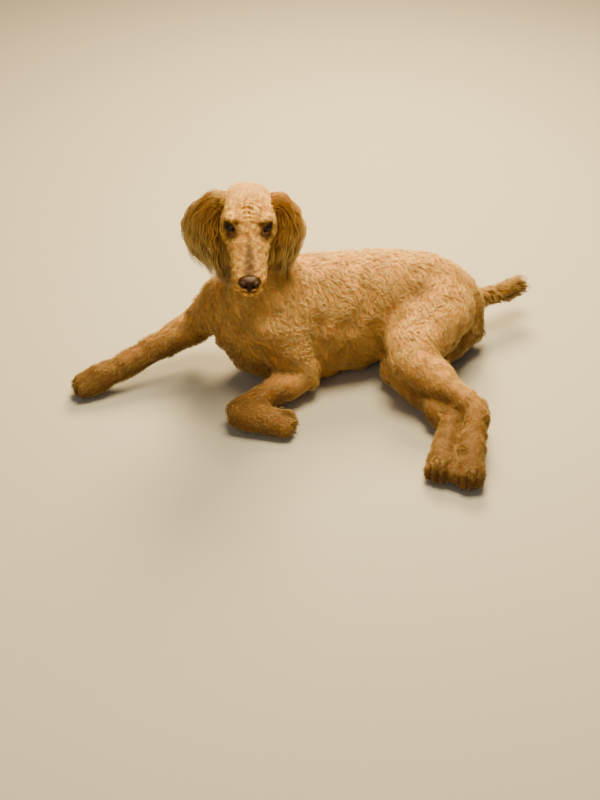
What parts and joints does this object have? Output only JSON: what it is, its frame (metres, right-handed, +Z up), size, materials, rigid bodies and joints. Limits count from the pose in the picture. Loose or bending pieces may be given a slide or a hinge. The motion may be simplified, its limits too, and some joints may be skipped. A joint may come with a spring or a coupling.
{
  "type": "standard poodle",
  "caption": "Still life-size model of a clipped cream-apricot standard poodle lying on the floor, head up, forelegs out ahead and hind legs put out to its left.",
  "frame": {"origin": "on the floor, on the flat of the belly, under the middle of the trunk", "axes": "+X from the chest to the rump, -Y to the dog's left, where its face and hind legs point, +Z up"},
  "size_m": [0.961, 0.6264, 0.4429],
  "materials": {
    "coat": "short curly cream-apricot coat",
    "ear_coat": "long wavy apricot hair",
    "nose_leather": "bare moist dark brown nose leather",
    "eye_glass": "wet gloss of a very dark brown eye"
  },
  "bodies": {
    "root": {"head": "coat", "jaw": "coat", "nose": "nose_leather", "eye_left": "eye_glass", "eye_right": "eye_glass", "ear_left": "ear_coat", "ear_right": "ear_coat", "neck": "coat", "torso": "coat", "tail": "coat", "upper_arm_left": "coat", "upper_arm_right": "coat", "forearm_left": "coat", "forearm_right": "coat", "paw_left": "coat", "paw_right": "coat", "thigh_left": "coat", "thigh_right": "coat", "shank_left": "coat", "shank_right": "coat", "foot_left": "coat", "foot_right": "coat"}
  },
  "joints": []
}
